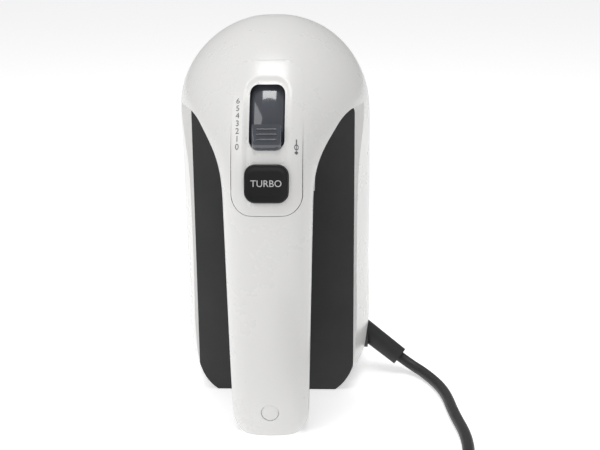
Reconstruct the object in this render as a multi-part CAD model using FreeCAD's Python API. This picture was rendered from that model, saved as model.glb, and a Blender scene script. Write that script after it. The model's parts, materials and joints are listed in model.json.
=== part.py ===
import FreeCAD, Part
import math
import os

os.makedirs("parts", exist_ok=True)
Vec = FreeCAD.Vector

# Hand mixer standing on its heel. X is to the right, Y runs from the handle through to the beaters, Z is up
# towards the nose. The origin is the middle of the heel's rest face.

# Shell
wall = 2.4
half_width = 48.0
nose_centre_z = 141.0
front_centre_y = -15.0
front_centre_z = 107.5
front_radius = 81.0
back_y = 40.0
back_radius = 22.0
handle_sag = 4.0
heel_taper = 12.0
heel_taper_height = 22.0
split_y = 4.0
seam = 0.2
heel_height = 4.5

# Handle, finger gap and the rim above it
grip_y = -70.0
panel_y = -36.0
gap_shoulder_z = 106.0
handle_end_z = 2.0
handle_end_half = 17.8
handle_root_half = 20.0
handle_root_z = 105.0
handle_corner = 7.0
rim_knee = (25.0, 136.0)
rim_bend = (30.0, 143.5)
rim_tip = (37.5, 150.0)
grip_seam_y = -83.0
grip_corner = 7.5
grip_top_z = 97.0
rail_half = 39.4
panel_corner_radius = 6.0

# Controls on the front arc
slot_half = 7.9
slot_low_z = 138.5
slot_high_z = 165.0
slot_corner = 4.0
panel_half = 16.0
panel_low_z = 110.0
panel_high_z = 174.0
panel_corner = 9.0
turbo_half = 9.5
turbo_low_z = 116.5
turbo_high_z = 132.5
turbo_corner = 4.5
turbo_gap = 0.35
turbo_foot = 74.6
turbo_flange_top = 76.6
turbo_flange_lip = 1.1
turbo_stem_radius = 2.4
turbo_stem_end = 69.0
turbo_switch_reach = (61.6, 66.4)
turbo_switch_half = (6.0, 4.0)
lever_outer = 77.8
lever_inner = 75.6
lever_crown = 20.0
lever_half = 8.8
lever_low_angle = 23.0
lever_high_angle = 49.0
tab_half = 6.4
tab_low_angle = 22.9
tab_high_angle = 30.4
tab_outer = 82.6
tab_low_z = 139.0
tab_corner = 3.2
lever_hub_radius = 3.6
lever_shield_depth = 2.2
groove_first = 2.4
groove_pitch = 1.6
groove_width = 0.5
groove_depth = 0.6
lever_arm_x = (6.8, 8.7)
lever_arm_angles = (39, 47)
hub_bore = 2.05
contact_x = (8.7, 11.3)
carrier_x = (11.7, 15.7)
pad_first = 42
pad_last = 74
pad_pitch = 5
pad_width = 2.4
yoke_half = 27.0
yoke_y = (-17.0, -14.5)
yoke_z = (118.5, 138.0)
yoke_leg_x = (9.8, 13.8)
yoke_leg_y = (-17.5, -14.2)
yoke_leg_z = (101.0, 119.0)
yoke_pin_radius = 2.0
yoke_pin_x = (7.0, 10.0)
push_rod_radius = 2.4
push_rod_y = -14.6
push_rod_gap = 0.1
plug_radius = 4.0
plug_z = 14.0
plug_gap = 0.15

# Screws and their posts
screw_x = 38.0
screw_heights = (24.0, 96.0)
post_radius = 4.4
post_start_y = -14.0
post_bore = 1.5
clear_bore = 1.75
screw_radius = 1.45
screw_start_y = -10.0
screw_seat_y = 33.0
screw_head_radius = 3.2
screw_head_height = 2.2
head_well_radius = 3.6
rib_half = 1.2
grip_post_radius = 3.8
grip_post_start_y = -89.5
grip_screw_radius = 1.6
grip_head_radius = 3.3
grip_head_y = (-91.5, -89.6)

# Back face: beater sockets, air slots and rating plate
socket_radius = 7.0
vent_rows = 5
vent_low_z = 22.0
vent_pitch = 7.0
vent_half = 15.0
vent_height = 3.2
plate_half = 16.0
plate_z = (72.0, 98.0)
plate_thick = 0.4

# Blocks that only have to reach past the casing
far_x = 80.0
far_front = -120.0
far_back = 120.0
far_top = 300.0
far_low = -5.0

# Motor and drive
motor_y = 2.0
shaft_radius = 3.0
shaft_low_z = 12.0
shaft_high_z = 151.0
core_radius = 13.0
core_slots = 12
core_slot_half = 1.1
core_slot_root = 8.5
core_low_z = 62.0
core_high_z = 88.0
field_half_x = 29.0
field_half_y = 22.0
field_notch_x = (17.0, 22.0)
field_notch_half = 12.0
winding_half = 25.0
winding_depth = 19.0
winding_bore = 15.5
winding_height = 7.0
winding_gap = 0.1
winding_split = 1.5
coil_head_radius = 12.0
coil_head_gap = 0.05
air_gap = 0.5
commutator_radius = 9.0
commutator_low_z = 40.0
commutator_high_z = 52.0
commutator_cut_half = 0.3
commutator_cut_root = 7.6
fan_radius = 24.0
fan_low_z = 22.0
fan_high_z = 31.0
fan_hub_radius = 6.0
fan_disc_thick = 1.6
fan_blades = 9
fan_blade_half = 0.7
bearing_radius = 8.0
bearing_height = 6.0
rear_bearing_z = 12.5
front_bearing_z = 104.0
bracket_half = 33.0
bracket_leg_x = (29.5, 33.0)
bracket_z = (12.0, 19.0)
bracket_depth = 9.0
bracket_leg_depth = 6.0
brush_z = (43.2, 48.8)
brush_half = 3.0
brush_end = 21.0
brush_gap = 0.3
holder_z = (41.8, 50.2)
holder_half = 4.4
holder_end = 29.0
holder_gap = 1.2
pocket_z = (43.1, 48.9)
pocket_half = 3.1
pocket_end = 27.5
running_gap = 0.05
spindle_x = 21.0
spindle_z = 132.0
tooth_count = 32
worm_starts = 2
gear_module = 1.0
worm_root = 3.9
worm_tip = 5.9
worm_half_length = 12.0
worm_turns = 3
worm_pitch_radius = 5.0
thread_root_half = 0.68
thread_tip_half = 0.34
wheel_pitch_radius = 16.0
wheel_root = 14.6
wheel_tip = 16.8
wheel_width = 8.0
tooth_flank = ((-0.27, wheel_root), (-0.13, wheel_tip), (0.13, wheel_tip), (0.27, wheel_root))
spindle_radius = 5.0
stem_radius = 2.8
spindle_y = (-9.5, 36.0)
collar_y = (16.6, 18.6)
collar_radius = 6.6
bush_radius = 7.0
bush_spans = ((-9.5, -6.5), (9.5, 16.0))
frame_half = 34.0
frame_floor = ((-9.0, 16.0), (103.5, 111.0))
frame_wall = ((9.5, 16.0), (110.0, 148.0))
frame_nose_half = 7.0
frame_nose = ((-4.0, 16.0), (145.2, 150.5))
frame_leg_y = (-4.0, 8.0)
frame_leg_top = 104.0
cover_half = 32.0
cover_span = ((-9.4, -6.6), (111.2, 146.0))
cover_hole_radius = 4.2
cover_hole_z = 127.0
lever_notch = ((6.3, 10.4), (-9.6, -6.2), (100.0, 113.0))

# Beaters
stem_start_y = -2.0
cage_start_y = 84.0
cage_end_y = 148.0
cage_radius = 26.0
strip_thick = 1.3
strip_width = 5.0
beater_hub_radius = 4.4
beater_collar_radius = 5.6
beater_collar_y = (7.0, 9.5)
beater_tip_radius = 4.0

# Lead
cord_radius = 2.8
gland_mouth = Vec(48.0, -6.3, 20.0)
gland_radius = 8.0
exit_direction = Vec(0.78, -0.25, -0.55)
sleeve_length = 26.0
sleeve_root = 5.3
sleeve_tip = 4.9
sleeve_bore = 3.5
sleeve_depth = 5.0
clamp_span = ((34.0, 42.0), (-16.0, 4.0), (30.5, 34.5))
clamp_cord_y = -6.0
clamp_cord_z = 30.0
clamp_screw_radius = 2.6
clamp_screw_y = (-13.0, 1.0)
clamp_screw_z = (34.5, 36.2)
board_span = ((-17.0, 17.0), (-31.5, -30.0), (24.0, 66.0))
board_blocks = ((-9, 34, 8, 10, 5), (6, 32, 9, 6, 4), (8, 52, 10, 9, 6), (-8, 54, 6, 12, 3))
coil_centre = Vec(54.0, -171.0, 0.0)
coil_mid_radius = 31.0
coil_columns = 3
coil_height = 4 * cord_radius
cord_z = 2.9
cord_floor_route = [(78, -22), (86, -43), (88, -69), (92, -94), (90, -120), (92, -144), (90, -168)]
plug_x = 37.0
plug_y = -202.0


def make_box(x, y, z):
    corner = Vec(x[0], y[0], z[0])
    return Part.makeBox(x[1] - x[0], y[1] - y[0], z[1] - z[0], corner)


def rod(radius, start, end):
    start, end = Vec(*start), Vec(*end)
    return Part.makeCylinder(radius, (end - start).Length, start, end - start)


def tube(outer, inner, start, end):
    return rod(outer, start, end).cut(rod(inner, start, end))


def both_sides(shape):
    return [shape, shape.mirror(Vec(0, 0, 0), Vec(1, 0, 0))]


def fuse_all(shapes):
    return shapes[0].multiFuse(shapes[1:]).removeSplitter()


def save(name, *solids):
    shape = solids[0] if len(solids) == 1 else Part.makeCompound(solids)
    shape.exportStep("parts/" + name + ".step")
    print(name, shape.isValid(), len(shape.Solids), round(shape.Volume / 1000, 2))


# Outer form. Each section is a smooth loop, egg-shaped where the handle grows out of the body,
# rounder towards
# the nose. The inset moves the whole surface inwards, so the same functions give the inside of the shell.

egg_outline = [
    (0, 0), (0.155, 0.004), (0.30, 0.02), (0.43, 0.088), (0.60, 0.21), (0.76, 0.345), (0.90, 0.493),
    (0.985, 0.62), (1.0, 0.72), (0.965, 0.85), (0.80, 0.962), (0.42, 0.995), (0, 1),
]
nose_angles = [0, 9, 18, 30, 48, 68, 88, 100, 112, 132, 152, 168, 180]


def front_y(z, inset):
    radius = front_radius - inset
    if z >= front_centre_z:
        return front_centre_y - math.sqrt(max(radius**2 - (z - front_centre_z)**2, 0))
    return front_centre_y - radius + handle_sag * ((front_centre_z - z) / front_centre_z)**2


def rear_y(z, inset):
    corner_z = front_centre_z + front_radius - back_radius - 4
    flat = back_y - inset
    if z <= corner_z:
        return flat
    top_z = front_centre_z + front_radius - inset
    share = (z - corner_z) / (top_z - corner_z)
    return front_centre_y + (flat - front_centre_y) * math.sqrt(max(1 - share**2.6, 0))


def side_x(z, inset):
    radius = half_width - inset
    if z > nose_centre_z:
        return math.sqrt(max(radius**2 - (z - nose_centre_z)**2, 0))
    if z < heel_taper_height:
        return radius - heel_taper * ((heel_taper_height - z) / heel_taper_height)**2.2
    return radius


def body_section(z, inset):
    half = side_x(z, inset)
    near = front_y(z, inset)
    depth = rear_y(z, inset) - near
    share = min(max((z - 105.0) / 70.0, 0), 1)
    share = share * share * (3 - 2 * share)
    right = []
    for (egg_x, egg_y), angle in zip(egg_outline, nose_angles):
        turn = math.radians(angle)
        x = half * (egg_x * (1 - share) + math.sin(turn) * share)
        y = near + depth * (egg_y * (1 - share) + (1 - math.cos(turn)) / 2 * share)
        right.append(Vec(x, y, z))
    left = [Vec(-point.x, point.y, point.z) for point in right[1:-1]]
    curve = Part.BSplineCurve()
    curve.interpolate(right[::-1] + left, PeriodicFlag=True)
    return Part.Wire(curve.toShape())


def envelope(inset):
    top_z = front_centre_z + front_radius - inset
    heights = [max(inset, 0), 12, 24, 60, 100, 122, nose_centre_z]
    for share in (0.25, 0.46, 0.63, 0.78, 0.895, 0.96):
        heights.append(nose_centre_z + (top_z - nose_centre_z) * share)
    sections = [body_section(z, inset) for z in heights]
    tip = Part.Vertex(Vec(0, front_centre_y, top_z))
    return Part.makeLoft(sections + [tip], True, False, False)


def arc(start, middle, end):
    return Part.Arc(Vec(*start), Vec(*middle), Vec(*end)).toShape()


def line(start, end):
    return Part.makeLine(Vec(*start), Vec(*end))


def front_outline(inset, end_y):
    # What the front view leaves of the envelope ahead of end_y: the handle, flaring at the rim into the nose.
    end_half = handle_end_half - inset
    root_half = handle_root_half - inset
    low = handle_end_z + inset
    bulge = handle_corner * (1 - math.sqrt(0.5))
    far_y = -200
    wide = 80
    high = 230
    rim = [
        (root_half, handle_root_z), (rim_knee[0] - inset, rim_knee[1] + 0.3 * inset),
        (rim_bend[0] - 0.7 * inset, rim_bend[1] + 0.7 * inset), (rim_tip[0], rim_tip[1] + inset),
    ]
    edges = [line((handle_corner - end_half, far_y, low), (end_half - handle_corner, far_y, low))]
    for side in (-1, 1):
        points = [Vec(side * x, far_y, z) for x, z in rim]
        curve = Part.BSplineCurve()
        curve.interpolate(points, InitialTangent=Vec(side * 0.4, 0, 20), FinalTangent=Vec(side * 10, 0, 3.5))
        foot = (side * end_half, far_y, low + handle_corner)
        tip = (side * rim[3][0], far_y, rim[3][1])
        edges.append(arc((side * (end_half - handle_corner), far_y, low),
                         (side * (end_half - bulge), far_y, low + bulge), foot))
        edges.append(line(foot, (side * root_half, far_y, handle_root_z)))
        edges.append(curve.toShape())
        edges.append(line(tip, (side * wide, far_y, rim[3][1])))
        edges.append(line((side * wide, far_y, rim[3][1]), (side * wide, far_y, high)))
    edges.append(line((wide, far_y, high), (-wide, far_y, high)))
    face = Part.Face(Part.Wire(Part.__sortEdges__(edges)))
    return face.extrude(Vec(0, end_y - far_y, 0))


def finger_tunnel(grow):
    low_y = grip_y - grow
    high_y = panel_y + grow
    middle = (low_y + high_y) / 2
    crown = gap_shoulder_z + (high_y - low_y) / 2
    x = -90
    outline = Part.Wire([
        line((x, low_y, -30), (x, low_y, gap_shoulder_z)),
        arc((x, low_y, gap_shoulder_z), (x, middle, crown), (x, high_y, gap_shoulder_z)),
        line((x, high_y, gap_shoulder_z), (x, high_y, -30)),
        line((x, high_y, -30), (x, low_y, -30)),
    ])
    return Part.Face(outline).extrude(Vec(-2 * x, 0, 0))


def grip_corner_cutter(inset):
    # Rounds the long edge of the handle's underside, fading out where the handle meets the neck.
    sections = []
    for z, radius in ((-5.0, grip_corner), (103.0, grip_corner), (124.0, 0.6)):
        corner = radius - 0.5 * inset if radius > inset else radius
        half = handle_end_half + (handle_root_half - handle_end_half) * z / handle_root_z - inset
        low = grip_y - inset
        bulge = corner * (1 - math.sqrt(0.5))
        sections.append(Part.Wire([
            arc((half - corner, low, z), (half - bulge, low - bulge, z), (half, low - corner, z)),
            line((half, low - corner, z), (half + 4, low - corner, z)),
            line((half + 4, low - corner, z), (half + 4, low + 4, z)),
            line((half + 4, low + 4, z), (half - corner, low + 4, z)),
            line((half - corner, low + 4, z), (half - corner, low, z)),
        ]))
    return Part.makeLoft(sections, True, True, False)


def form(inset):
    behind = make_box((-100, 100), (panel_y + inset, 160), (-20, 280))
    kept = front_outline(inset, panel_y + inset).fuse(behind)
    shape = envelope(inset).common(kept).cut(finger_tunnel(inset))
    return shape.cut(both_sides(grip_corner_cutter(inset)))


def rounded_prism(half, low_z, high_z, corner, near_y, far_y):
    wide = half - corner
    low = low_z + corner
    high = high_z - corner
    bars = [
        make_box((-half, half), (near_y, far_y), (low, high)),
        make_box((-wide, wide), (near_y, far_y), (low_z, high_z)),
    ]
    corners = [rod(corner, (x, near_y, z), (x, far_y, z)) for x in (-wide, wide) for z in (low, high)]
    return fuse_all(bars + corners)


def about_pivot(shape, angle):
    # Swings a shape, built level with the lever's pivot, up the front arc by the angle.
    shape.rotate(Vec(0, front_centre_y, front_centre_z), Vec(1, 0, 0), -angle)
    return shape


def sector(inner, outer, low_angle, high_angle, x):
    # Part of a ring about the lever's pivot axis, between two angles up the front arc.
    middle = (low_angle + high_angle) / 2

    def point(radius, angle):
        turn = math.radians(angle)
        return (x[0], front_centre_y - radius * math.cos(turn), front_centre_z + radius * math.sin(turn))

    outline = Part.Wire([
        line(point(inner, low_angle), point(outer, low_angle)),
        arc(point(outer, low_angle), point(outer, middle), point(outer, high_angle)),
        line(point(outer, high_angle), point(inner, high_angle)),
        arc(point(inner, high_angle), point(inner, middle), point(inner, low_angle)),
    ])
    return Part.Face(outline).extrude(Vec(x[1] - x[0], 0, 0))


def turbo_prism(grow, near, far):
    middle_angle = math.degrees(math.asin(((turbo_low_z + turbo_high_z) / 2 - front_centre_z) / front_radius))
    half_z = (turbo_high_z - turbo_low_z) / 2 / math.cos(math.radians(middle_angle)) + grow
    low_z = front_centre_z - half_z
    high_z = front_centre_z + half_z
    prism = rounded_prism(turbo_half + grow, low_z, high_z, turbo_corner + grow,
                          front_centre_y - near, front_centre_y - far)
    return about_pivot(prism, middle_angle)


def spring(radius, wire_radius, pitch, height, start, direction):
    helix = Part.makeHelix(pitch, height, radius)
    section = Part.Wire(Part.makeCircle(wire_radius, Vec(radius, 0, 0), Vec(0, 1, 0)))
    coil = Part.Wire(helix).makePipeShell([section], True, True)
    coil.Placement = FreeCAD.Placement(Vec(*start), FreeCAD.Rotation(Vec(0, 0, 1), Vec(*direction)))
    return coil


# Casing

def casing():
    outer_form = form(0)
    shell = outer_form.cut(form(wall))
    inside = envelope(wall)
    full_width = (-far_x, far_x)

    heel = shell.common(make_box(full_width, (panel_y - 1, far_back), (far_low, heel_height)))
    grip = shell.common(make_box(full_width, (grip_seam_y, panel_y - 5), (far_low, grip_top_z)))
    grip_post_ends = [(0, grip_post_start_y, plug_z), (0, grip_y - 1, plug_z)]
    grip_screw_post = tube(grip_post_radius, clear_bore, *grip_post_ends)
    save("handle_grip", grip.fuse(grip_screw_post).removeSplitter())

    slab_low_z = heel_height - panel_corner_radius
    slab_high_z = rim_tip[1] + 0.5
    slab_back_y = panel_y + wall
    slab_front_y = panel_y - 0.5
    slab = rounded_prism(rail_half, slab_low_z, slab_high_z, panel_corner_radius, slab_front_y, slab_back_y)
    slab = slab.common(make_box(full_width, (far_front, 0), (heel_height, slab_high_z + 1)))
    above_gap = make_box(full_width, (far_front, 0), (gap_shoulder_z, far_top))
    slab = slab.cut(front_outline(0, panel_y + 10).common(above_gap))
    roof = finger_tunnel(wall).common(front_outline(wall / 2, panel_y + 10))
    roof = roof.common(make_box(full_width, (far_front, slab_back_y), (grip_top_z, slab_high_z + 10)))
    dark = slab.fuse(roof)
    save("inner_saddle", shell.common(dark))

    panel_zone = rounded_prism(panel_half, panel_low_z, panel_high_z, panel_corner, far_front, panel_y - 10)
    panel_zone = panel_zone.cut(inside)
    slot = rounded_prism(slot_half, slot_low_z, slot_high_z, slot_corner, far_front, panel_y - 10)
    turbo_hole = turbo_prism(turbo_gap, front_radius + 14, front_radius - 11)
    save("control_panel", shell.common(panel_zone).cut(slot).cut(turbo_hole))

    front = shell.common(make_box(full_width, (far_front, split_y), (0, far_top)))
    front = front.cut(heel).cut(grip).cut(dark).cut(panel_zone).cut(slot)
    front = front.cut(rod(plug_radius + plug_gap, (0, far_front, plug_z), (0, grip_seam_y - 1, plug_z)))
    gland_y, gland_z = gland_mouth.y, gland_mouth.z
    front = front.fuse(screw_posts(post_start_y, split_y - seam, post_bore))
    front = front.cut(rod(gland_radius, (gland_mouth.x - 8, gland_y, gland_z), (far_x, gland_y, gland_z)))
    save("upper_housing", front)

    rear = shell.common(make_box(full_width, (split_y, far_back), (heel_height, far_top)))
    rear = rear.fuse(screw_posts(split_y, back_y + 5, clear_bore).common(envelope(wall / 2)))
    for x, z in screw_places:
        rear = rear.cut(rod(head_well_radius, (x, screw_seat_y, z), (x, far_back, z)))
        rear = rear.cut(rod(clear_bore, (x, 0, z), (x, far_back, z)))
    for x in (-spindle_x, spindle_x):
        rear = rear.fuse(rod(socket_radius + 2, (x, back_y - 6, spindle_z), (x, back_y + 4, spindle_z)))
        rear = rear.cut(rod(socket_radius, (x, back_y - 8, spindle_z), (x, back_y + 6, spindle_z)))
    for row in range(vent_rows):
        z = vent_low_z + row * vent_pitch
        vent_corner = vent_height / 2 - 0.01
        rear = rear.cut(rounded_prism(vent_half, z, z + vent_height, vent_corner, back_y - 15, far_back))
    save("lower_housing", rear)

    save("heel_cap", heel)

    plug = rod(plug_radius, (0, far_front, plug_z), (0, grip_y - 10, plug_z)).common(envelope(2 * plug_gap))
    save("handle_screw_plug", plug.common(form(2 * plug_gap)).cut(envelope(wall / 2)))

    label = make_box((-plate_half, plate_half), (back_y - 20, far_back), plate_z)
    save("rating_plate", label.common(envelope(-plate_thick)).cut(envelope(0)))


screw_places = [(side * screw_x, z) for side in (-1, 1) for z in screw_heights]


def screw_posts(near_y, far_y, bore):
    posts = []
    for x, z in screw_places:
        side = 1 if x > 0 else -1
        post = tube(post_radius, bore, (x, near_y, z), (x, far_y, z))
        rib_x = sorted((x + side * 3, side * (half_width - 2)))
        rib = make_box(rib_x, (near_y, min(far_y, back_y - 10)), (z - rib_half, z + rib_half))
        posts.append(post.fuse(rib.common(envelope(1.0))))
    return posts[0].multiFuse(posts[1:])


def screws():
    solids = []
    for x, z in screw_places:
        seat = (x, screw_seat_y, z)
        head = rod(screw_head_radius, seat, (x, screw_seat_y + screw_head_height, z))
        solids.append(head.fuse(rod(screw_radius, (x, screw_start_y, z), seat)).removeSplitter())
    top, seat = ((0, y, plug_z) for y in grip_head_y)
    head = rod(grip_head_radius, top, seat)
    solids.append(head.fuse(rod(grip_screw_radius, seat, (0, grip_y - 4, plug_z))).removeSplitter())
    save("housing_screws", *solids)


# Controls

def turbo():
    cap = turbo_prism(0, front_radius + 14, turbo_foot).common(envelope(-1.0))
    flange = turbo_prism(turbo_flange_lip, turbo_flange_top, turbo_foot)
    stem = turbo_axis_rod(turbo_stem_radius, turbo_foot + seam, turbo_stem_end)
    save("turbo_button", fuse_all([cap, flange, stem]))
    ring = spring(3.4, 0.35, 1.25, 4.6, turbo_point(69.6), turbo_direction(-1))
    save("turbo_spring", ring)
    near, far = turbo_switch_reach
    wide, tall = turbo_switch_half
    switch = make_box((-wide, wide), (front_centre_y - far, front_centre_y - near),
                      (front_centre_z - tall, front_centre_z + tall))
    save("turbo_switch", about_pivot(switch, turbo_angle))


turbo_angle = math.degrees(math.asin(((turbo_low_z + turbo_high_z) / 2 - front_centre_z) / front_radius))


def turbo_direction(sign):
    turn = math.radians(turbo_angle)
    return (0, sign * math.cos(turn), -sign * math.sin(turn))


def turbo_point(radius):
    turn = math.radians(turbo_angle)
    return (0, front_centre_y - radius * math.cos(turn), front_centre_z + radius * math.sin(turn))


def turbo_axis_rod(radius, near, far):
    return rod(radius, turbo_point(near), turbo_point(far))


def revolved_strip(inner, outer, half, low_angle, high_angle):
    # A strip crowned across its width, swept round the lever's pivot.
    def radius_at(base, x):
        return base - x * x / (2 * lever_crown)

    level = front_centre_z
    outline = Part.Wire([
        arc((-half, front_centre_y - radius_at(outer, half), level), (0, front_centre_y - outer, level),
            (half, front_centre_y - radius_at(outer, half), level)),
        line((half, front_centre_y - radius_at(outer, half), level), (half, front_centre_y - inner, level)),
        line((half, front_centre_y - inner, level), (-half, front_centre_y - inner, level)),
        line((-half, front_centre_y - inner, level), (-half, front_centre_y - radius_at(outer, half), level)),
    ])
    strip = Part.Face(outline).revolve(Vec(0, front_centre_y, level), Vec(-1, 0, 0), high_angle - low_angle)
    return about_pivot(strip, low_angle)


def speed_lever():
    inner = lever_inner - lever_shield_depth
    shield = revolved_strip(inner, lever_outer, lever_half, lever_low_angle, lever_high_angle)
    tab = sector(lever_outer - 3, tab_outer, tab_low_angle, tab_high_angle, (-tab_half, tab_half))
    tab = tab.common(rounded_prism(tab_half, tab_low_z, far_top, tab_corner, far_front, panel_y))
    for step in range(3):
        low = tab_low_angle + groove_first + step * groove_pitch
        groove = sector(tab_outer - groove_depth, tab_outer + 1, low, low + groove_width, (-far_x, far_x))
        tab = tab.cut(groove)
    solids = [shield, tab]
    for side in (-1, 1):
        x = sorted(side * place for place in lever_arm_x)
        ends = [(place, front_centre_y, front_centre_z) for place in x]
        hub = tube(lever_hub_radius, hub_bore, *ends)
        solids += [hub, sector(lever_hub_radius - 0.6, lever_inner - 1.5, *lever_arm_angles, x)]
    save("speed_lever", fuse_all(solids))
    save("lever_contact", sector(47, 53, 41, 45, contact_x))
    carrier = sector(30, 60, 38, 78, carrier_x)
    pad_x = (carrier_x[0] - 0.7, carrier_x[0] + 0.6)
    for angle in range(pad_first, pad_last, pad_pitch):
        carrier = carrier.cut(sector(46, 54, angle, angle + pad_width, pad_x))
    save("speed_switch", carrier)


def ejector():
    yoke = make_box((-yoke_half, yoke_half), yoke_y, yoke_z)
    for side in (-1, 1):
        leg = make_box(sorted(side * place for place in yoke_leg_x), yoke_leg_y, yoke_leg_z)
        pin_ends = [(side * place, front_centre_y, front_centre_z) for place in yoke_pin_x]
        pin = rod(yoke_pin_radius, *pin_ends)
        x = side * spindle_x
        push_end_y = stem_start_y - push_rod_gap
        push_rod = rod(push_rod_radius, (x, push_rod_y, spindle_z), (x, push_end_y, spindle_z))
        yoke = yoke.multiFuse([leg, pin, push_rod])
    save("ejector_yoke", yoke.removeSplitter())
    save("ejector_spring", spring(3.0, 0.4, 1.3, 3.9, (0, -14.0, 127), (0, 1, 0)))


# Motor and drive

def motor():
    axis_low = (0, motor_y, 0)
    axis_high = (0, motor_y, far_top)
    bore = rod(core_radius + air_gap, axis_low, axis_high)
    field = make_box((-field_half_x, field_half_x), (motor_y - field_half_y, motor_y + field_half_y),
                     (core_low_z, core_high_z))
    for side in (-1, 1):
        notch_x = sorted(side * place for place in field_notch_x)
        notch = make_box(notch_x, (motor_y - field_notch_half, motor_y + field_notch_half), (0, far_top))
        field = field.cut(notch)
    save("motor_field_core", field.cut(bore))
    windings = []
    spans = ((core_low_z - winding_height, core_low_z - winding_gap),
             (core_high_z + winding_gap, core_high_z + winding_height))
    for span in spans:
        block_y = (motor_y - winding_depth, motor_y + winding_depth)
        block = make_box((-winding_half, winding_half), block_y, span)
        block = block.cut(rod(winding_bore, axis_low, axis_high))
        for side in (-1, 1):
            half_y = sorted((motor_y + side * winding_split, motor_y + side * 2 * winding_depth))
            windings.append(block.common(make_box((-far_x, far_x), half_y, (0, far_top))))
    save("field_windings", *windings)

    shaft = rod(shaft_radius, (0, motor_y, shaft_low_z), (0, motor_y, shaft_high_z))
    save("armature_shaft", shaft)
    save("drive_worm", worm())
    core = tube(core_radius, shaft_radius, (0, motor_y, core_low_z), (0, motor_y, core_high_z))
    slot_y = (motor_y + core_slot_root, motor_y + core_radius + 1)
    for step in range(core_slots):
        slot = make_box((-core_slot_half, core_slot_half), slot_y, (core_low_z - 1, core_high_z + 1))
        slot.rotate(Vec(*axis_low), Vec(0, 0, 1), step * 360 / core_slots)
        core = core.cut(slot)
    save("armature_core", core)
    low_ends = [(0, motor_y, z) for z in (core_low_z - winding_height - 1, core_low_z - coil_head_gap)]
    high_ends = [(0, motor_y, z) for z in (core_high_z + coil_head_gap, core_high_z + winding_height)]
    heads = [tube(coil_head_radius, shaft_radius, *ends) for ends in (low_ends, high_ends)]
    save("armature_windings", *heads)
    ring_ends = [(0, motor_y, commutator_low_z), (0, motor_y, commutator_high_z)]
    ring = tube(commutator_radius, shaft_radius, *ring_ends)
    cut_y = (motor_y + commutator_cut_root, motor_y + commutator_radius + 1)
    for step in range(core_slots):
        cut = make_box((-commutator_cut_half, commutator_cut_half), cut_y,
                       (commutator_low_z - 1, commutator_high_z - 2))
        cut.rotate(Vec(*axis_low), Vec(0, 0, 1), (step + 0.5) * 360 / core_slots)
        ring = ring.cut(cut)
    save("commutator", ring)
    fan_foot = (0, motor_y, fan_low_z)
    fan = [tube(fan_hub_radius, shaft_radius, fan_foot, (0, motor_y, fan_high_z)),
           tube(fan_radius, shaft_radius, fan_foot, (0, motor_y, fan_low_z + fan_disc_thick))]
    blade_y = (motor_y + fan_hub_radius - 1, motor_y + fan_radius - 0.6)
    for step in range(fan_blades):
        blade = make_box((-fan_blade_half, fan_blade_half), blade_y, (fan_low_z, fan_high_z))
        blade.rotate(Vec(*axis_low), Vec(0, 0, 1), step * 360 / fan_blades)
        fan.append(blade)
    save("cooling_fan", fuse_all(fan))

    for name, z in (("rear_bearing", rear_bearing_z), ("front_bearing", front_bearing_z)):
        ends = [(0, motor_y, z), (0, motor_y, z + bearing_height)]
        save(name, tube(bearing_radius, shaft_radius + running_gap, *ends))
    bar_y = (motor_y - bracket_depth, motor_y + bracket_depth)
    bar = make_box((-bracket_half, bracket_half), bar_y, bracket_z)
    bracket = [bar.cut(rod(bearing_radius, axis_low, axis_high))]
    leg_y = (motor_y - bracket_leg_depth, motor_y + bracket_leg_depth)
    for side in (-1, 1):
        leg_x = sorted(side * place for place in bracket_leg_x)
        bracket.append(make_box(leg_x, leg_y, (bracket_z[0], core_low_z + 12)))
    save("rear_bracket", fuse_all(bracket))

    holders, brushes, springs = [], [], []
    for side in (-1, 1):
        near = side * (commutator_radius + holder_gap)
        holder_y = (motor_y - holder_half, motor_y + holder_half)
        holder = make_box(sorted((near, side * holder_end)), holder_y, holder_z)
        pocket_y = (motor_y - pocket_half, motor_y + pocket_half)
        pocket = make_box(sorted((near - side, side * pocket_end)), pocket_y, pocket_z)
        holders.append(holder.cut(pocket))
        brush_x = sorted((side * (commutator_radius + brush_gap), side * brush_end))
        brushes.append(make_box(brush_x, (motor_y - brush_half, motor_y + brush_half), brush_z))
        springs.append(spring(2.1, 0.4, 1.4, 5.6, (side * 21.4, motor_y, 46), (side, 0, 0)))
    save("brush_holders", *holders)
    save("carbon_brushes", *brushes)
    save("brush_springs", *springs)


def worm():
    # Each start is a trapezoid swept along a right-hand helix, and faces the wheels' height on both sides.
    lead = worm_starts * math.pi * gear_module
    thread_length = worm_turns * lead
    core = tube(worm_root, shaft_radius, (0, motor_y, spindle_z - worm_half_length),
                (0, motor_y, spindle_z + worm_half_length))
    threads = []
    for start in range(worm_starts):
        helix = Part.makeHelix(lead, thread_length, worm_root)
        section = Part.makePolygon([
            Vec(worm_root - 0.4, 0, -thread_root_half), Vec(worm_tip, 0, -thread_tip_half),
            Vec(worm_tip, 0, thread_tip_half), Vec(worm_root - 0.4, 0, thread_root_half),
            Vec(worm_root - 0.4, 0, -thread_root_half),
        ])
        thread = Part.Wire(helix).makePipeShell([section], True, True)
        thread.rotate(Vec(0, 0, 0), Vec(0, 0, 1), start * 360 / worm_starts)
        thread.translate(Vec(0, motor_y, spindle_z - thread_length / 2))
        threads.append(thread)
    return core.multiFuse(threads)


def wheel_section(y, turn):
    points = []
    tooth = 2 * math.pi / tooth_count
    for index in range(tooth_count):
        for share, radius in tooth_flank:
            angle = turn + tooth * (index + share)
            points.append(Vec(radius * math.cos(angle), y, radius * math.sin(angle)))
    return Part.makePolygon(points + points[:1])


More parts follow.
